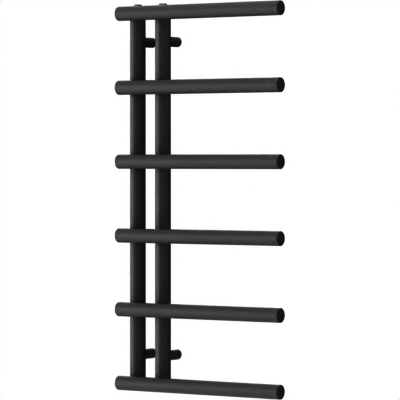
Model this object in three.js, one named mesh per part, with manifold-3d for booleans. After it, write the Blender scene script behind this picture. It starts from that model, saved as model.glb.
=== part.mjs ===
// A water-heated towel rack: horizontal bars welded across the front of two upright collectors,
// which stand off the wall on four sleeves that slide over studs screwed to the wall.
//
// Millimetres, +Z up. The origin is on the wall plane, midway between the four wall studs.
// +X is to the right for someone facing the rack, and +Y points into the wall.

import * as THREE from 'three';
import { mergeVertices } from 'three/addons/utils/BufferGeometryUtils.js';
import Module from 'manifold-3d';

const wasm = await Module();
wasm.setup();

// ---- driving dimensions -------------------------------------------------------------------

const BAR_COUNT = 6;
const BAR_PITCH = 190;
const BAR_LENGTH = 500;
const BAR_RADIUS = 18.2;
const BAR_WALL = 1.5;
const BAR_OVERHANG = 35; // from a bar's left end to the left collector's axis

const COLLECTOR_SPACING = 80;
const COLLECTOR_RADIUS = 20;
const COLLECTOR_WALL = 2;
const COLLECTOR_TO_WALL = 65;
const BAR_SETBACK = 35; // from a collector's axis forward to the bars' axis

const SLEEVE_SPACING = 806;
const SLEEVE_RADIUS = 12.8;
const SLEEVE_BORE = 8.8;
const STUD_RADIUS = 8.5;
const STUD_LENGTH = 36;

const FIT_GAP = 0.3; // between pieces that touch, are welded or are screwed together

// ---- worked out from them -----------------------------------------------------------------

const RACK_HEIGHT = (BAR_COUNT - 1) * BAR_PITCH + 2 * BAR_RADIUS;
const RACK_TOP = RACK_HEIGHT / 2;
const BAR_LEFT_END = -COLLECTOR_SPACING / 2 - BAR_OVERHANG;
const BAR_Y = -COLLECTOR_TO_WALL - BAR_SETBACK;
const TOP_BAR_Z = RACK_TOP - BAR_RADIUS;

const SIDES = [
  { name: 'left', x: -COLLECTOR_SPACING / 2 },
  { name: 'right', x: COLLECTOR_SPACING / 2 },
];
const SLEEVE_LEVELS = [
  { name: 'upper', z: SLEEVE_SPACING / 2 },
  { name: 'lower', z: -SLEEVE_SPACING / 2 },
];

// Facets round each size of turned piece.
const LARGE_FACETS = 32;
const BAR_FACETS = 24;
const SMALL_FACETS = 16;
const PIPE_FACETS = 12;

// ---- finishes -----------------------------------------------------------------------------

const finish = (color, roughness, metalness) =>
  new THREE.MeshStandardMaterial({ color, roughness, metalness });

const POWDER_COAT = finish(0x1d1d1e, 0.5, 0.0);
const PLUG_COAT = finish(0x2b2b2c, 0.45, 0.2);
const BARE_STEEL = finish(0x8b8f93, 0.45, 1.0);
const ZINC_PLATE = finish(0xb4b8ba, 0.35, 1.0);
const BLACK_OXIDE = finish(0x222224, 0.4, 0.8);
const NICKEL_PLATE = finish(0xc9c7c0, 0.25, 1.0);
const WHITE_NYLON = finish(0xe9e8e2, 0.55, 0.0);

// ---- turning, cutting and joining ---------------------------------------------------------

// Turns a profile of [radius, height] points about the Z axis. A profile that starts and ends
// on the axis makes a solid piece, and one that closes on itself makes a ring or a tube.
function turned(profile, facets) {
  const points = profile.map(([radius, height]) => new THREE.Vector2(radius, height));
  return new THREE.LatheGeometry(points, facets).rotateX(Math.PI / 2);
}

function rod(radius, low, high, facets) {
  return turned([[0, low], [radius, low], [radius, high], [0, high]], facets);
}

function ring(inner, outer, low, high, facets) {
  return turned(
    [[inner, low], [outer, low], [outer, high], [inner, high], [inner, low]],
    facets,
  );
}

// A six-sided rod for a key socket, with the given width across its flats.
function hexagon(acrossFlats, low, high) {
  return rod(acrossFlats / 2 / Math.cos(Math.PI / 6), low, high, 6);
}

const alongX = (geometry) => geometry.rotateY(Math.PI / 2);
const alongY = (geometry) => geometry.rotateX(-Math.PI / 2);

function toManifold(geometry) {
  const bare = geometry.clone();
  bare.deleteAttribute('normal');
  bare.deleteAttribute('uv');
  const welded = mergeVertices(bare, 1e-4);
  const corners = welded.index.array;
  const triangles = [];
  for (let i = 0; i < corners.length; i += 3) {
    const [a, b, c] = [corners[i], corners[i + 1], corners[i + 2]];
    if (a !== b && b !== c && c !== a) triangles.push(a, b, c);
  }
  return new wasm.Manifold(new wasm.Mesh({
    numProp: 3,
    vertProperties: new Float32Array(welded.attributes.position.array),
    triVerts: new Uint32Array(triangles),
  }));
}

function toGeometry(manifold) {
  const mesh = manifold.getMesh();
  const geometry = new THREE.BufferGeometry();
  geometry.setAttribute('position', new THREE.BufferAttribute(mesh.vertProperties, 3));
  geometry.setIndex(new THREE.BufferAttribute(mesh.triVerts, 1));
  geometry.computeVertexNormals();
  return geometry;
}

const cut = (geometry, ...cutters) =>
  toGeometry(cutters.reduce((left, tool) => left.subtract(toManifold(tool)), toManifold(geometry)));

const join = (geometry, ...others) =>
  toGeometry(others.reduce((whole, other) => whole.add(toManifold(other)), toManifold(geometry)));

// ---- bars ---------------------------------------------------------------------------------

// Each bar is built along +X from its left end. Two ports in its back wall let water in from
// one collector and out to the other.

const CAP_FACE = 2;
const CAP_SPIGOT = 3;
const PORT_RADIUS = 5;
const PORTS_X = [BAR_OVERHANG, BAR_OVERHANG + COLLECTOR_SPACING];
const BAR_BORE = BAR_RADIUS - BAR_WALL;

function barTube() {
  const low = CAP_FACE + FIT_GAP;
  const high = BAR_LENGTH - low;
  const tube = alongX(ring(BAR_BORE, BAR_RADIUS, low, high, BAR_FACETS));
  const ports = PORTS_X.map((x) =>
    alongY(rod(PORT_RADIUS, BAR_BORE - 4, BAR_RADIUS + 2, SMALL_FACETS)).translate(x, 0, 0));
  return cut(tube, ...ports);
}

// A welded end cap, with its face at 0 and its spigot towards +X inside the tube.
function barCap() {
  const spigot = BAR_BORE - FIT_GAP;
  return alongX(turned([
    [0, 0],
    [BAR_RADIUS, 0],
    [BAR_RADIUS, CAP_FACE],
    [spigot, CAP_FACE],
    [spigot, CAP_FACE + CAP_SPIGOT],
    [0, CAP_FACE + CAP_SPIGOT],
  ], BAR_FACETS));
}

// The guide pipe takes water from the left port through a divider to the bar's far end, so
// that it returns along the whole bar to the right port. A square plate centres its far end.
function flowGuide() {
  const pipeRadius = 6;
  const pipeBore = 4.5;
  const pipeEnd = BAR_LENGTH - 40;
  const plateX = pipeEnd - 20;
  const dividerX = (PORTS_X[0] + PORTS_X[1]) / 2;
  const pipeStart = dividerX - 3;
  const fitRadius = BAR_BORE - FIT_GAP;
  const pipe = alongX(rod(pipeRadius, pipeStart, pipeEnd, PIPE_FACETS));
  const divider = alongX(rod(fitRadius, dividerX - 1, dividerX + 1, BAR_FACETS));
  const plate = alongX(rod(fitRadius, plateX, plateX + 1.5, 4));
  const bore = alongX(rod(pipeBore, pipeStart - 1, pipeEnd + 1, PIPE_FACETS));
  return cut(join(pipe, divider, plate), bore);
}

// ---- collectors ---------------------------------------------------------------------------

// A collector is built about the Z axis. Wherever a bar crosses it, its front is cut to the
// bar's round, which also opens its wall to the bar's port.

const BUSH_HEIGHT = 12;
const BUSH_SPIGOT = 2;
const COLLECTOR_BORE = COLLECTOR_RADIUS - COLLECTOR_WALL;
const TUBE_TOP = RACK_TOP - BUSH_HEIGHT;
const PIPE_THREAD_BORE = 9.3; // tapping bore of a half-inch pipe thread
const PLUG_THREAD_BORE = 7.6; // tapping bore of a three-eighths pipe thread

function barSaddle(z) {
  const reach = COLLECTOR_RADIUS + 5;
  return alongX(rod(BAR_RADIUS + FIT_GAP, -reach, reach, LARGE_FACETS)).translate(0, -BAR_SETBACK, z);
}

function collectorTube() {
  const tube = ring(COLLECTOR_BORE, COLLECTOR_RADIUS, -TUBE_TOP, TUBE_TOP, LARGE_FACETS);
  const saddles = [];
  for (let i = 0; i < BAR_COUNT; i += 1) {
    saddles.push(barSaddle(TOP_BAR_Z - i * BAR_PITCH));
  }
  return cut(tube, ...saddles);
}

// The threaded bush that closes a collector's upper end, at its height in the rack.
function endBush(bore) {
  const low = TUBE_TOP + FIT_GAP;
  const spigot = COLLECTOR_BORE - FIT_GAP;
  const body = turned([
    [bore, low - BUSH_SPIGOT],
    [spigot, low - BUSH_SPIGOT],
    [spigot, low],
    [COLLECTOR_RADIUS, low],
    [COLLECTOR_RADIUS, RACK_TOP],
    [bore, RACK_TOP],
    [bore, low - BUSH_SPIGOT],
  ], LARGE_FACETS);
  return cut(body, barSaddle(TOP_BAR_Z));
}

// ---- plugs in the collectors' tops --------------------------------------------------------

const PLUG_HEAD_RADIUS = 10.25;
const PLUG_HEAD_HEIGHT = 3.2;
const SEAL_HEIGHT = 2;
const PLUG_SHANK_RADIUS = PLUG_THREAD_BORE - FIT_GAP;
const PLUG_SHANK_LENGTH = 10;
const SEAL_BASE = RACK_TOP + FIT_GAP;
const PLUG_SEAT = SEAL_BASE + SEAL_HEIGHT + FIT_GAP;
const PLUG_TOP = PLUG_SEAT + PLUG_HEAD_HEIGHT;
const PLUG_FOOT = RACK_TOP - PLUG_SHANK_LENGTH;

function sealRing() {
  const inner = PLUG_SHANK_RADIUS + FIT_GAP;
  return ring(inner, PLUG_HEAD_RADIUS, SEAL_BASE, SEAL_BASE + SEAL_HEIGHT, BAR_FACETS);
}

function plugBlank() {
  return turned([
    [0, PLUG_FOOT],
    [PLUG_SHANK_RADIUS, PLUG_FOOT],
    [PLUG_SHANK_RADIUS, PLUG_SEAT],
    [PLUG_HEAD_RADIUS, PLUG_SEAT],
    [PLUG_HEAD_RADIUS, PLUG_TOP],
    [0, PLUG_TOP],
  ], BAR_FACETS);
}

const KEY_FLATS = 10;
const BLEED_HEAD_RADIUS = 4;
const BLEED_SHANK_RADIUS = 2.5;
const BLEED_HEAD_SEAT = PLUG_TOP - 7;
const BLEED_TIP = PLUG_FOOT + 2.4;

function blankPlug() {
  return cut(plugBlank(), hexagon(KEY_FLATS, PLUG_TOP - 5, PLUG_TOP + 1));
}

// The vent has the same key socket, and below it a stepped bore for the bleed screw that
// narrows to a seat and a small air hole.
function ventBody() {
  const bore = turned([
    [0, PLUG_FOOT - 1],
    [1.3, PLUG_FOOT - 1],
    [1.3, PLUG_FOOT + 2],
    [BLEED_SHANK_RADIUS + FIT_GAP, PLUG_FOOT + 3.5],
    [BLEED_SHANK_RADIUS + FIT_GAP, BLEED_HEAD_SEAT],
    [BLEED_HEAD_RADIUS + FIT_GAP, BLEED_HEAD_SEAT],
    [BLEED_HEAD_RADIUS + FIT_GAP, PLUG_TOP - 2],
    [0, PLUG_TOP - 2],
  ], SMALL_FACETS);
  return cut(plugBlank(), hexagon(KEY_FLATS, PLUG_TOP - 3, PLUG_TOP + 1), bore);
}

// The bleed screw ends in a cone that shuts the air hole when it is screwed down.
function bleedScrew() {
  const headTop = PLUG_TOP - 0.6;
  const screw = turned([
    [0, BLEED_TIP],
    [1, BLEED_TIP],
    [BLEED_SHANK_RADIUS, BLEED_TIP + 1.6],
    [BLEED_SHANK_RADIUS, BLEED_HEAD_SEAT + FIT_GAP],
    [BLEED_HEAD_RADIUS, BLEED_HEAD_SEAT + FIT_GAP],
    [BLEED_HEAD_RADIUS, headTop],
    [0, headTop],
  ], SMALL_FACETS);
  return cut(screw, hexagon(4, headTop - 3, headTop + 1));
}

// ---- wall fixings -------------------------------------------------------------------------

// Built along Y at the height of a sleeve, with the wall at 0 and the collector towards -Y.

const SLEEVE_BACK = -0.5; // it stops just clear of the wall
const SCREW_RADIUS = 2.5;
const SCREW_LENGTH = SLEEVE_RADIUS - SLEEVE_BORE;
const GRUB_SCREW_Y = -14;
const STUD_BASE = 6;
const WALL_SCREW_HOLE = 3.25;
const WALL_SCREW_HEAD_BORE = 6.25;

// A rod across the sleeve's lower wall, from one distance below its axis to another.
const belowAxis = (radius, near, far, facets) =>
  rod(radius, -far, -near, facets).translate(0, GRUB_SCREW_Y, 0);

function bracketSleeve() {
  const front = -COLLECTOR_TO_WALL + COLLECTOR_RADIUS / 2;
  const sleeve = alongY(ring(SLEEVE_BORE, SLEEVE_RADIUS, front, SLEEVE_BACK, BAR_FACETS));
  const cope = rod(COLLECTOR_RADIUS + FIT_GAP, -SLEEVE_RADIUS - 2, SLEEVE_RADIUS + 2, LARGE_FACETS);
  const screwHole = belowAxis(SCREW_RADIUS + FIT_GAP, SLEEVE_BORE - 3, SLEEVE_RADIUS + 2, SMALL_FACETS);
  return cut(sleeve, cope.translate(0, -COLLECTOR_TO_WALL, 0), screwHole);
}

// The stud's wall screw goes in from the front, and its head sits in the wide bore.
function wallStud() {
  return alongY(turned([
    [WALL_SCREW_HOLE, 0],
    [WALL_SCREW_HOLE, -STUD_BASE],
    [WALL_SCREW_HEAD_BORE, -STUD_BASE],
    [WALL_SCREW_HEAD_BORE, -STUD_LENGTH],
    [STUD_RADIUS, -STUD_LENGTH],
    [STUD_RADIUS, 0],
    [WALL_SCREW_HOLE, 0],
  ], BAR_FACETS));
}

function grubScrew() {
  const screw = belowAxis(SCREW_RADIUS, SLEEVE_BORE, SLEEVE_BORE + SCREW_LENGTH, SMALL_FACETS);
  const socket = hexagon(2.5, -SLEEVE_RADIUS - 1, -SLEEVE_RADIUS + 2.2);
  return cut(screw, socket.translate(0, GRUB_SCREW_Y, 0));
}

// ---- the rack -----------------------------------------------------------------------------

const rack = new THREE.Group();

function place(parent, name, geometry, material, x = 0, y = 0, z = 0) {
  const mesh = new THREE.Mesh(geometry, material);
  mesh.name = name;
  mesh.position.set(x, y, z);
  parent.add(mesh);
  return mesh;
}

function addBars() {
  const tube = barTube();
  const cap = barCap();
  const guide = flowGuide();
  for (let i = 0; i < BAR_COUNT; i += 1) {
    const bar = new THREE.Group();
    bar.position.set(BAR_LEFT_END, BAR_Y, TOP_BAR_Z - i * BAR_PITCH);
    rack.add(bar);
    const name = `bar_${i + 1}`;
    place(bar, `${name}_tube`, tube, POWDER_COAT);
    place(bar, `${name}_left_cap`, cap, POWDER_COAT);
    place(bar, `${name}_right_cap`, cap, POWDER_COAT, BAR_LENGTH).rotation.z = Math.PI;
    place(bar, `${name}_flow_guide`, guide, BARE_STEEL);
  }
}

function addCollector(side) {
  const collector = new THREE.Group();
  collector.position.set(side.x, -COLLECTOR_TO_WALL, 0);
  rack.add(collector);
  const name = `${side.name}_collector`;
  place(collector, `${name}_tube`, collectorTube(), POWDER_COAT);
  place(collector, `${name}_top_bush`, endBush(PLUG_THREAD_BORE), POWDER_COAT);
  // The lower bush is the upper one turned over, so its saddle still faces the bars.
  const lower = endBush(PIPE_THREAD_BORE).rotateY(Math.PI);
  place(collector, `${name}_bottom_bush`, lower, POWDER_COAT);
  place(collector, `${side.name}_plug_seal`, sealRing(), WHITE_NYLON);
  return collector;
}

function addWallFixings(side) {
  for (const level of SLEEVE_LEVELS) {
    const fixing = new THREE.Group();
    fixing.position.set(side.x, 0, level.z);
    rack.add(fixing);
    const name = `${level.name}_${side.name}`;
    place(fixing, `${name}_wall_stud`, wallStud(), ZINC_PLATE);
    place(fixing, `${name}_sleeve`, bracketSleeve(), POWDER_COAT);
    place(fixing, `${name}_grub_screw`, grubScrew(), BLACK_OXIDE);
  }
}

addBars();
const [leftCollector, rightCollector] = SIDES.map(addCollector);
SIDES.forEach(addWallFixings);
place(leftCollector, 'blank_plug', blankPlug(), PLUG_COAT);
place(rightCollector, 'air_vent_body', ventBody(), PLUG_COAT);
place(rightCollector, 'bleed_screw', bleedScrew(), NICKEL_PLATE);

export default rack;
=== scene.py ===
"""The towel rack's looks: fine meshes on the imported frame, their finishes, a studio and a camera.

Metres, +Z up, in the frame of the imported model: the wall is the plane y = 0, and the bars face -Y.
"""

import math

import bmesh
import bpy
from mathutils import Matrix, Vector


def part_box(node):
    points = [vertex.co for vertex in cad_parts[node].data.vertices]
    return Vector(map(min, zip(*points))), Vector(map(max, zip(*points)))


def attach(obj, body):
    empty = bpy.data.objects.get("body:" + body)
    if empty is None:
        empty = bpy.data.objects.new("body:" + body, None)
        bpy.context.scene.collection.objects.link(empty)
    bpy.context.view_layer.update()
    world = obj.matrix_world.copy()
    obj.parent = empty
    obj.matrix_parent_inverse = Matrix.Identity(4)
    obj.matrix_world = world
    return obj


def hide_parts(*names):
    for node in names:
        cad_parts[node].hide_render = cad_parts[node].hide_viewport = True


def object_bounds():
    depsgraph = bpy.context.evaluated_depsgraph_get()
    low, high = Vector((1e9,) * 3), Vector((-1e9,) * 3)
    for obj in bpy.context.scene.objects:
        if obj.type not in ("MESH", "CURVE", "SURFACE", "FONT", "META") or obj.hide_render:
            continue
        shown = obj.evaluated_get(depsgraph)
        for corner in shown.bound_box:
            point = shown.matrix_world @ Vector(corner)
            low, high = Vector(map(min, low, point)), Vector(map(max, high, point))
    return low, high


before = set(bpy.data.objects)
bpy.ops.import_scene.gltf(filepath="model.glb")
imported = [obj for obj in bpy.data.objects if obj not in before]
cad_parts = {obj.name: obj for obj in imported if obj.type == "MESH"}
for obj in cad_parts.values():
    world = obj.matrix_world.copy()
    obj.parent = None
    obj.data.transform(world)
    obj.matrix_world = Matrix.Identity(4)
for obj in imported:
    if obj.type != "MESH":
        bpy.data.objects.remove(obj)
cad_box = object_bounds()

MM = 0.001
TAU = 2 * math.pi
scene = bpy.context.scene

# ---- sizes, read from the frame -----------------------------------------------------------


def span(node, axis):
    """The lowest and highest coordinate of a CAD node along axis 0, 1 or 2."""
    low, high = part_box(node)
    return low[axis], high[axis]


def middle(node, axis):
    low, high = span(node, axis)
    return (low + high) / 2


def half_width(node, axis):
    low, high = span(node, axis)
    return (high - low) / 2


BARS = [f"bar_{number}" for number in range(1, 7)]
SIDES = ("left", "right")
CORNERS = [f"{level}_{side}" for level in ("upper", "lower") for side in SIDES]

BAR_RADIUS = half_width("bar_1_tube", 2)
BAR_Y = middle("bar_1_tube", 1)
BAR_LEFT = span("bar_1_left_cap", 0)[0]
BAR_RIGHT = span("bar_1_right_cap", 0)[1]
BAR_LENGTH = BAR_RIGHT - BAR_LEFT
BAR_WALL = 1.5 * MM
PORT_RADIUS = 5 * MM

COLLECTOR_RADIUS = half_width("left_collector_tube", 0)
COLLECTOR_WALL = 2 * MM
COLLECTOR_Y = middle("left_collector_tube", 1)
COLLECTOR_X = {side: middle(f"{side}_collector_tube", 0) for side in SIDES}
BAR_SETBACK = COLLECTOR_Y - BAR_Y
RACK_TOP = span("left_collector_top_bush", 2)[1]
TUBE_TOP = span("left_collector_tube", 2)[1]

SLEEVE_RADIUS = half_width("upper_left_sleeve", 0)
SLEEVE_BACK = span("upper_left_sleeve", 1)[1]
SLEEVE_BORE = 8.8 * MM
STUD_RADIUS = half_width("upper_left_wall_stud", 0)
STUD_LENGTH = 2 * half_width("upper_left_wall_stud", 1)

# Half the gap that the CAD keeps between welded pieces, which is closed here to a fine groove.
SEAM = 0.15 * MM

# ---- meshes from rings --------------------------------------------------------------------

# Pieces are made upright, along +Z, and these turn them.
ALONG_X = Matrix.Rotation(math.pi / 2, 4, "Y")
ALONG_Y = Matrix.Rotation(-math.pi / 2, 4, "X")
UPSIDE_DOWN = Matrix.Rotation(math.pi, 4, "Y")
ABOUT_FACE = Matrix.Rotation(math.pi, 4, "Z")
UPRIGHT = Matrix.Identity(4)

ROUND = 96  # facets round tubes, plugs and studs
FINE_ROUND = 48  # facets round small screws and drills
MERGE = 1e-7  # points closer than this are one


def ring(radius, height, facets):
    """Points round the Z axis. Radius and height are numbers or functions of the angle."""
    if radius == 0:
        return [Vector((0, 0, height))]
    points = []
    for i in range(facets):
        angle = TAU * i / facets
        r = radius(angle) if callable(radius) else radius
        h = height(angle) if callable(height) else height
        points.append(Vector((r * math.cos(angle), r * math.sin(angle), h)))
    return points


def rounded(corners, steps=4):
    """Profile points from (radius, height, edge radius) corners. An edge radius makes an arc."""
    points = []
    count = len(corners)
    for i, (r, z, edge) in enumerate(corners):
        here = Vector((r, z))
        if not edge:
            points.append(here)
            continue
        before = (Vector(corners[i - 1][:2]) - here).normalized()
        after = (Vector(corners[(i + 1) % count][:2]) - here).normalized()
        half = before.angle(after) / 2
        centre = here + (before + after).normalized() * edge / math.sin(half)
        start = here + before * edge / math.tan(half) - centre
        turn = start.angle_signed(here + after * edge / math.tan(half) - centre)
        for step in range(steps + 1):
            arm = start.copy()
            arm.rotate(Matrix.Rotation(-turn * step / steps, 2))
            points.append(centre + arm)
    return points


def turned(corners, facets, steps=4):
    """Rings of a turned piece. A profile off the axis is a closed loop, for a tube or ring."""
    return [ring(point.x, point.y, facets) for point in rounded(corners, steps)]


def skin(rings, loop):
    """Vertices and faces over a row of rings.

    A ring of one point is a tip. With loop, the last ring is joined to the first."""
    vertices = []
    starts = []
    for points in rings:
        starts.append(len(vertices))
        vertices.extend(points)
    faces = []
    pairs = list(zip(range(len(rings)), range(1, len(rings))))
    if loop:
        pairs.append((len(rings) - 1, 0))
    for a, b in pairs:
        size_a, size_b = len(rings[a]), len(rings[b])
        size = max(size_a, size_b)
        for i in range(size):
            j = (i + 1) % size
            corner = [starts[a] + i % size_a, starts[a] + j % size_a]
            corner += [starts[b] + j % size_b, starts[b] + i % size_b]
            faces.append(list(dict.fromkeys(corner)))
    return vertices, faces


def mesh_object(name, rings, place, loop=True):
    """A closed mesh over rings, moved to its place. The object itself stays at the origin."""
    vertices, faces = skin(rings, loop)
    mesh = bpy.data.meshes.new(name)
    mesh.from_pydata(vertices, [], faces)
    work = bmesh.new()
    work.from_mesh(mesh)
    bmesh.ops.remove_doubles(work, verts=work.verts, dist=MERGE)
    bmesh.ops.recalc_face_normals(work, faces=work.faces)
    work.to_mesh(mesh)
    work.free()
    mesh.transform(place)
    obj = bpy.data.objects.new(name, mesh)
    bpy.context.collection.objects.link(obj)
    return obj


def cut(obj, cutters):
    """Takes the cutters out of obj and deletes them."""
    for cutter in cutters:
        modifier = obj.modifiers.new("cut", "BOOLEAN")
        modifier.operation = "DIFFERENCE"
        modifier.solver = "EXACT"
        modifier.object = cutter
    shape = obj.evaluated_get(bpy.context.evaluated_depsgraph_get())
    mesh = bpy.data.meshes.new_from_object(shape)
    obj.modifiers.clear()
    obj.data = mesh
    for cutter in cutters:
        bpy.data.objects.remove(cutter)
    return obj


def finish_piece(obj, material, body, slot, nodes=(), crease=30):
    """Smooths obj, gives it its finish, and hangs it on its body in place of the CAD nodes."""
    mesh = obj.data
    mesh.materials.clear()
    mesh.materials.append(material)
    mesh.polygons.foreach_set("use_smooth", [True] * len(mesh.polygons))
    mesh.set_sharp_from_angle(angle=math.radians(crease))
    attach(obj, body)
    if nodes:
        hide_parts(*nodes)
    return obj


def at(x, y, z, turn=UPRIGHT):
    return Matrix.Translation((x, y, z)) @ turn


def plain_rod(name, radius, low, high, place, facets=ROUND):
    rings = [ring(0, low, facets), ring(radius, low, facets)]
    rings += [ring(radius, high, facets), ring(0, high, facets)]
    return mesh_object(name, rings, place, loop=False)


def thread_radius(crest, root, pitch, low, high):
    """Radius of a rounded screw thread, by angle and height, fading out at both ends."""

    def radius(angle, height):
        fade = min(1, (height - low) / pitch, (high - height) / pitch)
        wave = 0.5 + 0.5 * math.cos(TAU * height / pitch - angle)
        return root + (crest - root) * wave * max(0, fade)

    return radius


def threaded(crest, root, pitch, low, high, facets, samples=10):
    """Rings of a screw thread, with so many samples for each turn."""
    radius = thread_radius(crest, root, pitch, low, high)
    count = math.ceil((high - low) / pitch * samples)
    rings = []
    for i in range(count + 1):
        height = low + (high - low) * i / count
        rings.append(ring(lambda angle: radius(angle, height), height, facets))
    return rings


def hexagon(flats):
    """Radius of a hexagon, by angle, with the given width across its flats."""
    return lambda angle: flats / 2 / math.cos((angle + TAU / 12) % (TAU / 6) - TAU / 12)


# ---- finishes -----------------------------------------------------------------------------


class Finish:
    """A material built round one Principled shader, with noise on object coordinates.

    Noise scales are in cycles a metre, so 1000 is a grain of about a millimetre."""

    def __init__(self, name):
        self.material = bpy.data.materials.new(name)
        self.material.use_nodes = True
        self.tree = self.material.node_tree
        self.shader = self.tree.nodes["Principled BSDF"]
        self.place = self.node("ShaderNodeTexCoord").outputs["Object"]

    def node(self, kind, **inputs):
        made = self.tree.nodes.new(kind)
        for key, value in inputs.items():
            made.inputs[key].default_value = value
        return made

    def link(self, output, target):
        self.tree.links.new(output, target)

    def stretched(self, scale):
        mapping = self.node("ShaderNodeMapping", Scale=scale)
        self.link(self.place, mapping.inputs["Vector"])
        return mapping.outputs["Vector"]

    def noise(self, scale, detail=2.0, place=None):
        noise = self.node("ShaderNodeTexNoise", Scale=scale, Detail=detail)
        self.link(place or self.place, noise.inputs["Vector"])
        return noise.outputs["Fac"]

    def graded(self, value, low, high, spread=0.2):
        """Maps a noise value around 0.5 to the range low to high."""
        grade = self.node("ShaderNodeMapRange")
        grade.inputs["From Min"].default_value = 0.5 - spread
        grade.inputs["From Max"].default_value = 0.5 + spread
        grade.inputs["To Min"].default_value = low
        grade.inputs["To Max"].default_value = high
        self.link(value, grade.inputs["Value"])
        return grade.outputs["Result"]

    def colour(self, value, dark, light, spread=0.2):
        mix = self.node("ShaderNodeMix")
        mix.data_type = "RGBA"
        mix.inputs["A"].default_value = (*dark, 1)
        mix.inputs["B"].default_value = (*light, 1)
        self.link(self.graded(value, 0, 1, spread), mix.inputs["Factor"])
        self.link(mix.outputs["Result"], self.shader.inputs["Base Color"])

    def roughness(self, value, low, high, spread=0.2):
        self.link(self.graded(value, low, high, spread), self.shader.inputs["Roughness"])

    def bumps(self, *layers):
        """Each layer is (height value, depth in metres, strength)."""
        normal = None
        for value, depth, strength in layers:
            bump = self.node("ShaderNodeBump", Strength=strength, Distance=depth)
            self.link(value, bump.inputs["Height"])
            if normal:
                self.link(normal, bump.inputs["Normal"])
            normal = bump.outputs["Normal"]
        self.link(normal, self.shader.inputs["Normal"])

    def set(self, **inputs):
        """Sets plain values on the shader and gives the finished material."""
        for key, value in inputs.items():
            self.shader.inputs[key.replace("_", " ")].default_value = value
        return self.material


def grey(value):
    return (value, value, value)


def powder_coat():
    """Satin black powder coat: a fine orange peel, and a slightly uneven sheen."""
    finish = Finish("black_powder_coat")
    peel = finish.noise(700, 2.0)
    grain = finish.noise(4000, 1.0)
    finish.colour(finish.noise(35), grey(0.042), (0.047, 0.047, 0.048))
    finish.roughness(finish.noise(140), 0.5, 0.58)
    finish.bumps((peel, 0.08 * MM, 0.4), (grain, 0.015 * MM, 0.3))
    return finish.set()


def plug_lacquer():
    """Dark satin lacquer on a turned plug, a little greyer than the tubes."""
    finish = Finish("black_plug_coat")
    finish.colour(finish.noise(260), grey(0.075), grey(0.09))
    finish.roughness(finish.noise(500), 0.42, 0.55)
    turning = finish.noise(1.0, 1.0, finish.stretched((150, 150, 5000)))
    finish.bumps((turning, 0.01 * MM, 0.3))
    return finish.set()


def nylon():
    """Natural white nylon, faintly cloudy."""
    finish = Finish("white_nylon")
    finish.colour(finish.noise(300), (0.78, 0.77, 0.73), (0.86, 0.86, 0.83))
    finish.roughness(finish.noise(700), 0.4, 0.55)
    finish.bumps((finish.noise(2500), 0.01 * MM, 0.3))
    return finish.set()


def turned_metal(name, dark, light, rough, groove_scale):
    """Metal with fine lines round its turning axis and a slightly patchy surface."""
    finish = Finish(name)
    finish.colour(finish.noise(180), dark, light)
    finish.roughness(finish.noise(180), rough - 0.03, rough + 0.03)
    lines = finish.noise(1.0, 2.0, finish.stretched(groove_scale))
    finish.bumps((lines, 0.01 * MM, 0.25))
    return finish.set(Metallic=1.0)


COAT = powder_coat()
PLUG_COAT = plug_lacquer()
NYLON = nylon()

# The grooves' scales along X, Y and Z: fine along the axis that a piece turns about, coarse across.
TURNED_ABOUT_Y = (120, 4500, 120)
TURNED_ABOUT_Z = (300, 300, 6000)
TURNED_ABOUT_X = (2500, 200, 200)

ZINC = turned_metal("zinc_plated_steel", (0.48, 0.5, 0.51), (0.58, 0.6, 0.61), 0.5, TURNED_ABOUT_Y)
OXIDE = turned_metal("black_oxide_steel", grey(0.05), (0.08, 0.08, 0.085), 0.38, TURNED_ABOUT_Z)
NICKEL = turned_metal("nickel_plated_brass", (0.62, 0.6, 0.55), (0.72, 0.7, 0.66), 0.22, TURNED_ABOUT_Z)
STEEL = turned_metal("bare_steel", (0.4, 0.4, 0.41), (0.52, 0.52, 0.53), 0.42, TURNED_ABOUT_X)

# ---- bars ---------------------------------------------------------------------------------

CAP_FACE = 2 * MM
CAP_SPIGOT = 3 * MM
CAP_EDGE = 1.1 * MM
PORT_MARGIN = 2 * MM  # how far a drill starts and ends beyond the wall that it goes through
BAR_BORE = BAR_RADIUS - BAR_WALL


def bar_tube(name, place):
    """The open tube between a bar's caps, with a water port in its back wall at each collector."""
    low, high = CAP_FACE + SEAM, BAR_LENGTH - CAP_FACE - SEAM
    ports = [COLLECTOR_X[side] - BAR_LEFT for side in SIDES]
    stops = [port + reach for port in ports for reach in (-2 * PORT_RADIUS, 2 * PORT_RADIUS)]
    outside = [ring(BAR_RADIUS - SEAM, low, ROUND), ring(BAR_RADIUS, low + SEAM, ROUND)]
    outside += [ring(BAR_RADIUS, stop, ROUND) for stop in stops]
    outside += [ring(BAR_RADIUS, high - SEAM, ROUND), ring(BAR_RADIUS - SEAM, high, ROUND)]
    inside = [ring(BAR_BORE, stop, ROUND) for stop in (high, *reversed(stops), low)]
    tube = mesh_object(f"{name}_tube_fine", outside + inside, place)
    drills = []
    for port in ports:
        across = place @ at(0, 0, port, ALONG_Y)
        reach = (BAR_BORE - 2 * PORT_MARGIN, BAR_RADIUS + PORT_MARGIN)
        drills.append(plain_rod("drill", PORT_RADIUS, *reach, across, FINE_ROUND))
    return cut(tube, drills)


def bar_cap(name, place):
    """A welded cap: a softened outer edge, a fine groove where it meets the tube, and a spigot."""
    spigot = BAR_BORE - 2 * SEAM
    back = CAP_FACE + SEAM
    corners = [
        (0, 0, 0),
        (BAR_RADIUS, 0, CAP_EDGE),
        (BAR_RADIUS, back - SEAM, 0),
        (BAR_RADIUS - SEAM, back, 0),
        (spigot, back, 0),
        (spigot, back + CAP_SPIGOT, 0.4 * MM),
        (0, back + CAP_SPIGOT, 0),
    ]
    return mesh_object(name, turned(corners, ROUND, 6), place, loop=False)


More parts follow.
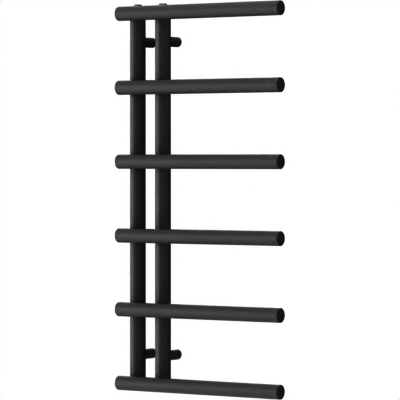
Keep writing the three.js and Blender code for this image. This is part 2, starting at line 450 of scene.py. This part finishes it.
def add_bar(bar):
    """One bar. Its flow guide stays as the CAD node, because its shape is right, in bare steel."""
    height = middle(f"{bar}_tube", 2)
    left = at(BAR_LEFT, BAR_Y, height, ALONG_X)
    right = at(BAR_RIGHT, BAR_Y, height, ABOUT_FACE @ ALONG_X)
    finish_piece(bar_tube(bar, left), COAT, "rack", "black_powder_coat", [f"{bar}_tube"])
    for end, place in (("left", left), ("right", right)):
        cap = bar_cap(f"{bar}_{end}_cap_fine", place)
        finish_piece(cap, COAT, "rack", "black_powder_coat", [f"{bar}_{end}_cap"])
    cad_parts[f"{bar}_flow_guide"].data.materials[0] = STEEL


for bar in BARS:
    add_bar(bar)

# ---- collectors ---------------------------------------------------------------------------

COLLECTOR_BORE = COLLECTOR_RADIUS - COLLECTOR_WALL
BAR_HEIGHTS = [middle(f"{bar}_tube", 2) for bar in BARS]
PORT_CREST = 9.3 * MM  # a half-inch pipe thread
PORT_ROOT = 10.45 * MM
PORT_PITCH = 1.814 * MM
PORT_MOUTH = PORT_ROOT + 0.5 * MM
PORT_BEVEL = 0.6 * MM
PLUG_BORE = 7.6 * MM
PLUG_BORE_EDGE = 0.5 * MM
BUSH_SPIGOT = 2 * MM
BUSH_EDGE = 0.9 * MM
BAR_CLEARANCE = 2 * MM  # the collectors' rings keep this far from the saddle cuts


def bar_cutter(height):
    """A full bar, to be cut out of a collector."""
    return plain_rod("bar", BAR_RADIUS, BAR_LEFT, BAR_RIGHT, at(0, BAR_Y, height, ALONG_X))


def collector_tube(side):
    """The upright tube, saddle-cut in front wherever a bar crosses it."""
    top = TUBE_TOP + SEAM
    near = BAR_RADIUS + BAR_CLEARANCE
    stops = [h + reach for h in reversed(BAR_HEIGHTS) for reach in (-near, near)]
    stops = [stop for stop in stops if abs(stop) < top - MM]
    bevelled = COLLECTOR_RADIUS - SEAM
    outside = [ring(bevelled, -top, ROUND), ring(COLLECTOR_RADIUS, -top + SEAM, ROUND)]
    outside += [ring(COLLECTOR_RADIUS, stop, ROUND) for stop in stops]
    outside += [ring(COLLECTOR_RADIUS, top - SEAM, ROUND), ring(bevelled, top, ROUND)]
    inside = [ring(COLLECTOR_BORE, stop, ROUND) for stop in (top, *reversed(stops), -top)]
    place = at(COLLECTOR_X[side], COLLECTOR_Y, 0)
    tube = mesh_object(f"{side}_collector_tube_fine", outside + inside, place)
    return cut(tube, [bar_cutter(height) for height in BAR_HEIGHTS])


def bush_outside():
    """The outline of an upper end bush from its spigot up to its face, without its bore."""
    low = TUBE_TOP + SEAM
    spigot = COLLECTOR_BORE - 2 * SEAM
    return [
        (spigot, low - BUSH_SPIGOT, 0),
        (spigot, low, 0),
        (COLLECTOR_RADIUS - SEAM, low, 0),
        (COLLECTOR_RADIUS, low + SEAM, 0),
        (COLLECTOR_RADIUS, RACK_TOP, BUSH_EDGE),
    ]


def top_bush(side):
    """The bush that the plug screws into. The plug's thread fills its bore, so that stays plain."""
    low = TUBE_TOP + SEAM - BUSH_SPIGOT
    corners = [(PLUG_BORE, low, 0), *bush_outside(), (PLUG_BORE, RACK_TOP, PLUG_BORE_EDGE)]
    place = at(COLLECTOR_X[side], COLLECTOR_Y, 0)
    bush = mesh_object(f"{side}_top_bush_fine", turned(corners, ROUND, 5), place)
    return cut(bush, [bar_cutter(BAR_HEIGHTS[0])])


def bottom_bush(side):
    """The lower bush, with a real pipe thread and a bevelled mouth: an upper one turned over."""
    low = TUBE_TOP + SEAM - BUSH_SPIGOT
    outline = [(PORT_ROOT, low, 0), *bush_outside(), (PORT_MOUTH, RACK_TOP, 0)]
    shell = turned(outline, ROUND, 5)
    thread = threaded(PORT_CREST, PORT_ROOT, PORT_PITCH, low, RACK_TOP - PORT_BEVEL, ROUND)
    place = at(COLLECTOR_X[side], COLLECTOR_Y, 0, UPSIDE_DOWN)
    bush = mesh_object(f"{side}_bottom_bush_fine", shell + list(reversed(thread))[:-1], place)
    return cut(bush, [bar_cutter(BAR_HEIGHTS[-1])])


for side in SIDES:
    body = ("rack", "black_powder_coat")
    finish_piece(collector_tube(side), COAT, *body, [f"{side}_collector_tube"])
    finish_piece(top_bush(side), COAT, *body, [f"{side}_collector_top_bush"])
    finish_piece(bottom_bush(side), COAT, *body, [f"{side}_collector_bottom_bush"])

# ---- wall sleeves, studs and their screws -------------------------------------------------

SCREW_Y = middle("upper_left_grub_screw", 1)
SCREW_CREST = 2.5 * MM
SCREW_ROOT = 2.1 * MM
SCREW_PITCH = 0.8 * MM
SCREW_CLEARANCE = 0.1 * MM  # round the screw's thread in its hole
SCREW_SINK = 2.5 * MM  # how much wider the countersink's mouth is, below the sleeve
SLEEVE_BAND = 5 * MM  # rings of the sleeve keep this far from the screw's axis
SLEEVE_EDGE = 0.8 * MM
SLEEVE_BORE_EDGE = 0.4 * MM


def corner_place(corner, turn=ALONG_Y):
    """The place of a corner's stud, on the wall plane."""
    node = f"{corner}_wall_stud"
    return at(middle(node, 0), 0, middle(node, 2), turn)


def screw_place(corner):
    """Where the grub screw's upright axis meets the sleeve's axis."""
    return corner_place(corner, UPRIGHT) @ at(0, SCREW_Y, 0)


def coped(radius):
    """How far along Y a sleeve's front reaches at each angle, where it fits the collector."""

    def reach(angle):
        return COLLECTOR_Y + math.sqrt(COLLECTOR_RADIUS**2 - (radius * math.cos(angle)) ** 2)

    return reach


def screw_hole(corner):
    """A cutter for the grub screw's hole through a sleeve's underside, with its countersink."""
    mouth = SLEEVE_RADIUS + 2 * MM
    width = SCREW_CREST + SCREW_CLEARANCE
    tip = -SLEEVE_BORE + 2 * MM
    profile = turned([
        (0, -mouth, 0),
        (SCREW_CREST + SCREW_SINK, -mouth, 0),
        (width, -SLEEVE_RADIUS + 0.3 * MM, 0),
        (width, tip, 0),
        (0, tip, 0),
    ], FINE_ROUND)
    return mesh_object("drill", profile, screw_place(corner), loop=False)


def sleeve(corner):
    """A wall sleeve, coped in front to fit the collector's back, with a hole for its screw."""
    back = turned([
        (SLEEVE_BORE, SLEEVE_BACK, SLEEVE_BORE_EDGE),
        (SLEEVE_RADIUS, SLEEVE_BACK, SLEEVE_EDGE),
        (SLEEVE_RADIUS, SCREW_Y + SLEEVE_BAND, 0),
        (SLEEVE_RADIUS, SCREW_Y - SLEEVE_BAND, 0),
    ], ROUND, 5)
    front = [ring(radius, coped(radius), ROUND) for radius in (SLEEVE_RADIUS, SLEEVE_BORE)]
    bore = [ring(SLEEVE_BORE, SCREW_Y + reach, ROUND) for reach in (-SLEEVE_BAND, SLEEVE_BAND)]
    obj = mesh_object(f"{corner}_sleeve_fine", back + front + bore, corner_place(corner))
    return cut(obj, [screw_hole(corner)])


def stud(corner):
    """A turned stud with bevelled ends, a screw hole and a wide bore for the screw's head."""
    hole, wide, base = 3.25 * MM, 6.25 * MM, 6 * MM
    corners = [
        (hole, 0, 0.2 * MM),
        (hole, -base, 0),
        (wide, -base, 0.3 * MM),
        (wide, -STUD_LENGTH, 0.3 * MM),
        (STUD_RADIUS, -STUD_LENGTH, 1.0 * MM),
        (STUD_RADIUS, 0, 0.4 * MM),
    ]
    return mesh_object(f"{corner}_wall_stud_fine", turned(corners, ROUND), corner_place(corner))


def grub_screw(corner):
    """A threaded screw with a hexagon socket below and a cup point above."""
    facets = FINE_ROUND
    low, high = -SLEEVE_RADIUS, -SLEEVE_BORE
    floor = low + 2.2 * MM
    key = hexagon(2.5 * MM)
    key_mouth, cup_rim, cup = 1.6 * MM, 1.5 * MM, 1.1 * MM
    socket = [(0, floor + 0.5 * MM), (MM, floor + 0.1 * MM), (key, floor), (key, low + 0.15 * MM)]
    socket += [(key_mouth, low), (SCREW_ROOT, low)]
    point = [(cup_rim, high), (cup, high), (0, high - 0.5 * MM)]
    rings = [ring(radius, height, facets) for radius, height in socket]
    rings += threaded(SCREW_CREST, SCREW_ROOT, SCREW_PITCH, low + 0.1 * MM, high - 0.4 * MM, facets)
    rings += [ring(radius, height, facets) for radius, height in point]
    return mesh_object(f"{corner}_grub_screw_fine", rings, screw_place(corner), loop=False)


for corner in CORNERS:
    finish_piece(sleeve(corner), COAT, "rack", "black_powder_coat", [f"{corner}_sleeve"])
    finish_piece(stud(corner), ZINC, "wall_studs", "zinc_plated_steel", [f"{corner}_wall_stud"])
    screw = f"{corner}_grub_screw"
    finish_piece(grub_screw(corner), OXIDE, screw, "black_oxide_steel", [screw])

# ---- weld fillets -------------------------------------------------------------------------

FILLET = 2.2 * MM
FILLET_SINK = 0.25 * MM  # how far a fillet's back lies inside the two tubes it joins
FILLET_STEPS = 8
RIPPLES = 42
RIPPLE_DEPTH = 0.05 * MM
WELD_SECTIONS = 6 * RIPPLES
HALVINGS = 40  # enough to settle a search by halves to the last digit


def fillet_section(ball, first, second, radius, bulge):
    """A weld's cross-section: the hollow arc where a ball rests on two tubes, closed behind.

    first and second are unit vectors from each tube's axis to the ball's centre."""
    start, end = -first, -second
    arc = []
    for step in range(FILLET_STEPS + 1):
        share = step / FILLET_STEPS
        arm = start.slerp(end, share)
        lift = bulge * math.sin(math.pi * share)
        arc.append(ball + arm * (radius - lift))
    corner = ball + (start + end) * (radius + FILLET_SINK)
    sunk_first = arc[0] + start * FILLET_SINK
    sunk_second = arc[-1] + end * FILLET_SINK
    return [*arc, sunk_second, corner, sunk_first]


def ripple(angle):
    """How far the weld swells at this angle, bead by bead."""
    return RIPPLE_DEPTH * (1 + math.cos(RIPPLES * angle))


def bar_weld(name, x, height):
    """The weld where a bar's back meets a collector's front, as a ring round their meeting line."""
    around_bar = BAR_RADIUS + FILLET
    around_collector = COLLECTOR_RADIUS + FILLET

    def miss(reach, angle):
        """How far a ball touching the collector at this reach is from touching the bar."""
        depth = -math.sqrt(around_collector**2 - (reach * math.cos(angle)) ** 2)
        return math.hypot(depth + BAR_SETBACK, reach * math.sin(angle)) - around_bar, depth

    sections = []
    for i in range(WELD_SECTIONS):
        angle = TAU * i / WELD_SECTIONS
        low, high = 0.0, around_bar
        for _ in range(HALVINGS):
            reach = (low + high) / 2
            if miss(reach, angle)[0] > 0:
                high = reach
            else:
                low = reach
        depth = miss(reach, angle)[1]
        ball = Vector((reach * math.cos(angle), depth, reach * math.sin(angle)))
        from_collector = Vector((ball.x, ball.y, 0)).normalized()
        from_bar = Vector((0, ball.y + BAR_SETBACK, ball.z)).normalized()
        sections.append(fillet_section(ball, from_bar, from_collector, FILLET, ripple(angle)))
    weld = mesh_object(name, sections, at(x, COLLECTOR_Y, height))
    return finish_piece(weld, COAT, "rack", "black_powder_coat", crease=50)


def sleeve_weld(corner):
    """The weld where a sleeve's front meets a collector's back."""
    around_sleeve = SLEEVE_RADIUS + FILLET
    around_collector = COLLECTOR_RADIUS + FILLET
    sections = []
    for i in range(WELD_SECTIONS):
        angle = TAU * i / WELD_SECTIONS
        x, z = around_sleeve * math.cos(angle), around_sleeve * math.sin(angle)
        ball = Vector((x, math.sqrt(around_collector**2 - x * x), z))
        from_sleeve = Vector((x, 0, z)).normalized()
        from_collector = Vector((ball.x, ball.y, 0)).normalized()
        sections.append(fillet_section(ball, from_sleeve, from_collector, FILLET, ripple(angle)))
    place = corner_place(corner, UPRIGHT) @ at(0, COLLECTOR_Y, 0)
    weld = mesh_object(f"{corner}_sleeve_weld", sections, place)
    return finish_piece(weld, COAT, "rack", "black_powder_coat", crease=50)


for bar, height in zip(BARS, BAR_HEIGHTS):
    for side in SIDES:
        bar_weld(f"{bar}_{side}_weld", COLLECTOR_X[side], height)
for corner in CORNERS:
    sleeve_weld(corner)

# ---- plugs --------------------------------------------------------------------------------

PLUG_FOOT, PLUG_TOP = span("blank_plug", 2)
HEAD_RADIUS = half_width("blank_plug", 0)
SEAL_LOW, SEAL_HIGH = span("left_plug_seal", 2)
HEAD_LOW = SEAL_HIGH + 2 * SEAM
SHANK_CREST = 7.5 * MM  # a three-eighths pipe thread
SHANK_ROOT = 6.9 * MM
SHANK_PITCH = 1.337 * MM
KEY_FLATS = 10 * MM
KEY_BEVEL = 0.25 * MM

AIR_HOLE = 1.3 * MM
BLEED_HEAD = 4 * MM
BLEED_CREST = 2.5 * MM
BLEED_ROOT = 2.15 * MM
BLEED_PITCH = 0.8 * MM
BLEED_KEY = 4 * MM
BLEED_KEY_BEVEL = 0.15 * MM
BLEED_FIT = 0.3 * MM  # all round the bleed screw in its bore
BLEED_SEAT = PLUG_TOP - 7 * MM


def plug_outside():
    """Rings of a plug from its foot up over its head to the rim of its key socket."""
    rings = [ring(SHANK_ROOT, PLUG_FOOT, ROUND)]
    low, high = PLUG_FOOT + 0.3 * MM, RACK_TOP - MM
    rings += threaded(SHANK_CREST, SHANK_ROOT, SHANK_PITCH, low, high, ROUND)
    rings += [ring(SHANK_ROOT, HEAD_LOW, ROUND)]
    head = rounded([
        (SHANK_ROOT, HEAD_LOW, 0),
        (HEAD_RADIUS, HEAD_LOW, 0.25 * MM),
        (HEAD_RADIUS, PLUG_TOP, 0.7 * MM),
        (KEY_FLATS / 2 + 1.2 * MM, PLUG_TOP, 0),
    ], 5)
    rings += [ring(point.x, point.y, ROUND) for point in head[1:]]
    key = hexagon(KEY_FLATS)
    rings.append(ring(lambda angle: key(angle) + KEY_BEVEL, PLUG_TOP, ROUND))
    rings.append(ring(key, PLUG_TOP - KEY_BEVEL, ROUND))
    return rings


def blank_plug():
    """The plug that only closes its collector, with a deep key socket that has a drilled floor."""
    floor = PLUG_TOP - 5 * MM
    rings = [ring(0, PLUG_FOOT, ROUND), *plug_outside()]
    rings += [ring(hexagon(KEY_FLATS), floor, ROUND), ring(4 * MM, floor, ROUND)]
    rings.append(ring(0, floor - 0.8 * MM, ROUND))
    x = middle("blank_plug", 0)
    return mesh_object("blank_plug_fine", rings, at(x, COLLECTOR_Y, 0), loop=False)


def vent_body():
    """The vent's body, hollow down the middle, with a seat for the bleed screw's cone."""
    floor = PLUG_TOP - 3 * MM
    bore = [
        (BLEED_HEAD + BLEED_FIT, floor),
        (BLEED_HEAD + BLEED_FIT, BLEED_SEAT),
        (BLEED_CREST + BLEED_FIT, BLEED_SEAT),
        (BLEED_CREST + BLEED_FIT, PLUG_FOOT + 3.5 * MM),
        (AIR_HOLE, PLUG_FOOT + 2 * MM),
        (AIR_HOLE, PLUG_FOOT),
    ]
    rings = [*plug_outside(), ring(hexagon(KEY_FLATS), floor, ROUND)]
    rings += [ring(radius, height, ROUND) for radius, height in bore]
    x = middle("air_vent_body", 0)
    return mesh_object("air_vent_body_fine", rings, at(x, COLLECTOR_Y, 0))


def bleed_screw():
    """A key screw with a threaded shank and a cone that shuts the vent."""
    low, high = span("bleed_screw", 2)
    seat = BLEED_SEAT + BLEED_FIT
    cone_top = low + 1.6 * MM
    rings = [ring(0, low, ROUND), ring(MM, low, ROUND), ring(BLEED_ROOT, cone_top, ROUND)]
    thread = (cone_top + 0.1 * MM, seat - 0.4 * MM)
    rings += threaded(BLEED_CREST, BLEED_ROOT, BLEED_PITCH, *thread, ROUND)
    head = rounded([
        (BLEED_ROOT, seat, 0),
        (BLEED_HEAD, seat, 0.2 * MM),
        (BLEED_HEAD, high, 0.5 * MM),
        (2.9 * MM, high, 0),
    ])
    rings += [ring(point.x, point.y, ROUND) for point in head]
    key = hexagon(BLEED_KEY)
    rings.append(ring(lambda angle: key(angle) + BLEED_KEY_BEVEL, high, ROUND))
    rings.append(ring(key, high - BLEED_KEY_BEVEL, ROUND))
    rings += [ring(key, high - 3 * MM, ROUND), ring(0, high - 3.6 * MM, ROUND)]
    x = middle("bleed_screw", 0)
    return mesh_object("bleed_screw_fine", rings, at(x, COLLECTOR_Y, 0), loop=False)


def seal(side):
    """The washer under a plug's head, with softly rounded edges."""
    low, high = SEAL_LOW - SEAM, SEAL_HIGH + SEAM
    corners = [
        (PLUG_BORE, low, 0.2 * MM),
        (HEAD_RADIUS, low, 0.4 * MM),
        (HEAD_RADIUS, high, 0.4 * MM),
        (PLUG_BORE, high, 0.2 * MM),
    ]
    place = at(COLLECTOR_X[side], COLLECTOR_Y, 0)
    return mesh_object(f"{side}_plug_seal_fine", turned(corners, ROUND), place)


finish_piece(blank_plug(), PLUG_COAT, "rack", "black_plug_coat", ["blank_plug"])
finish_piece(vent_body(), PLUG_COAT, "rack", "black_plug_coat", ["air_vent_body"])
finish_piece(bleed_screw(), NICKEL, "bleed_screw", "nickel_plated_brass", ["bleed_screw"])
for side in SIDES:
    finish_piece(seal(side), NYLON, "rack", "white_nylon", [f"{side}_plug_seal"])

# ---- camera -------------------------------------------------------------------------------

CAMERA_AZIMUTH = 35.18  # degrees, from straight in front towards the rack's right
CAMERA_ELEVATION = 0.858
CAMERA_DISTANCE = 7.0
CAMERA_TARGET = Vector((0.1102, 0.0, -0.0035))
CAMERA_LENS = 245.5  # millimetres, like the sensor
SENSOR_WIDTH = 36
CLIP_END = 100


def aimed(obj, target, azimuth, elevation, distance):
    """Puts obj at a distance from target, looking at it. Azimuth 0 is in front and 90 to its right."""
    a, e = math.radians(azimuth), math.radians(elevation)
    back = Vector((math.sin(a) * math.cos(e), -math.cos(a) * math.cos(e), math.sin(e)))
    obj.location = target + back * distance
    obj.rotation_mode = "QUATERNION"
    obj.rotation_quaternion = back.to_track_quat("Z", "Y")
    bpy.context.collection.objects.link(obj)
    return obj


def add_camera():
    data = bpy.data.cameras.new("camera")
    data.lens = CAMERA_LENS
    data.sensor_width = SENSOR_WIDTH
    data.clip_end = CLIP_END
    camera = bpy.data.objects.new("camera", data)
    view = (CAMERA_AZIMUTH, CAMERA_ELEVATION, CAMERA_DISTANCE)
    scene.camera = aimed(camera, CAMERA_TARGET, *view)


add_camera()

# ---- studio -------------------------------------------------------------------------------

CENTRE = Vector((0.17, -0.06, 0.0))  # what the lights are aimed at, and the floor's middle
SURROUND = 1.15  # strength of the light from all round, in front of the wall
BEHIND_SHARE = 0.04  # how much of it is left behind the wall
FADE = 0.4  # half the width of the change between the two, in the Y of a unit direction
FLOOR_DROP = 0.7  # from the lowest bar down to the floor
FLOOR_RADIUS = 1.2
FLOOR_THICKNESS = 0.02
FLOOR_EDGE = 0.004
FLOOR_FACETS = 128


def add_softbox(name, azimuth, elevation, distance, width, height, power):
    """A soft rectangular light aimed at the rack, which the camera doesn't see."""
    data = bpy.data.lights.new(name, "AREA")
    data.shape = "RECTANGLE"
    data.size, data.size_y = width, height
    data.energy = power
    light = bpy.data.objects.new(name, data)
    light.visible_camera = False
    return aimed(light, CENTRE, azimuth, elevation, distance)


def only_on(light, pieces):
    """Keeps a light off everything but these pieces."""
    lit = bpy.data.collections.new(f"{light.name}_pieces")
    for piece in pieces:
        lit.objects.link(piece)
    light.light_linking.receiver_collection = lit


def add_world():
    """A white backdrop for the camera, and a dim surround, mostly in front, that lights the rack."""
    world = bpy.data.worlds.new("studio")
    world.use_nodes = True
    tree = world.node_tree
    tree.nodes.clear()
    make, link = tree.nodes.new, tree.links.new
    backdrop = make("ShaderNodeBackground")
    around = make("ShaderNodeBackground")
    for background in (backdrop, around):
        background.inputs["Color"].default_value = (1, 1, 1, 1)
    axes = make("ShaderNodeSeparateXYZ")
    fade = make("ShaderNodeMapRange")
    fade.interpolation_type = "SMOOTHSTEP"
    fade.inputs["From Min"].default_value = FADE
    fade.inputs["From Max"].default_value = -FADE
    fade.inputs["To Min"].default_value = BEHIND_SHARE * SURROUND
    fade.inputs["To Max"].default_value = SURROUND
    mix = make("ShaderNodeMixShader")
    link(make("ShaderNodeTexCoord").outputs["Generated"], axes.inputs["Vector"])
    link(axes.outputs["Y"], fade.inputs["Value"])
    link(fade.outputs["Result"], around.inputs["Strength"])
    link(make("ShaderNodeLightPath").outputs["Is Camera Ray"], mix.inputs["Fac"])
    link(around.outputs["Background"], mix.inputs[1])
    link(backdrop.outputs["Background"], mix.inputs[2])
    link(mix.outputs["Shader"], make("ShaderNodeOutputWorld").inputs["Surface"])
    scene.world = world


def add_floor():
    """A pale round floor well below the rack, which lets the light from below through."""
    low = -FLOOR_THICKNESS
    corners = [(0, 0, 0), (FLOOR_RADIUS, 0, FLOOR_EDGE), (FLOOR_RADIUS, low, FLOOR_EDGE), (0, low, 0)]
    height = cad_box[0][2] - FLOOR_DROP
    place = at(CENTRE.x, CENTRE.y, height)
    floor = mesh_object("floor", turned(corners, FLOOR_FACETS), place, loop=False)
    finish = Finish("pale_floor")
    finish.colour(finish.noise(6), grey(0.5), grey(0.54))
    finish.roughness(finish.noise(40), 0.7, 0.85)
    finish.bumps((finish.noise(500), 0.05 * MM, 0.2))
    floor.data.materials.append(finish.set())
    floor.visible_shadow = False


SOFTBOXES = [
    # name, azimuth and elevation in degrees, distance, width and height in metres, watts
    ("key", -60, 0, 10.0, 4.0, 8.8, 1400),
    ("key_low", -60, -35, 10.0, 4.8, 4.8, 200),
    ("rim", -118, 15, 10.0, 4.8, 6.8, 400),
    ("highlight", -35, 0, 10.0, 1.6, 1.6, 200),
    ("overhead", 0, 88, 8.0, 5.2, 5.2, 1280),
    ("under", -5, -60, 10.0, 8.0, 4.8, 850),
    ("right", 114, 15, 10.0, 4.8, 5.6, 300),
    ("behind", -142, 12, 10.0, 4.8, 7.2, 560),
    ("fill", 62, 0, 10.0, 4.8, 4.8, 130),
]


def add_lights():
    """The soft boxes. The bars alone get the highlight, and all but the bars get the fill."""
    pieces = [obj for obj in bpy.context.collection.objects if obj.type == "MESH"]
    bars = [obj for obj in pieces if obj.name.startswith("bar_") and "weld" not in obj.name]
    others = [obj for obj in pieces if obj not in bars]
    lights = {softbox[0]: add_softbox(*softbox) for softbox in SOFTBOXES}
    only_on(lights["highlight"], bars)
    only_on(lights["fill"], others)


add_lights()
add_world()
add_floor()

# Without a tone curve, edges blend with the white backdrop evenly, and blacks stay deep.
scene.view_settings.view_transform = "Raw"
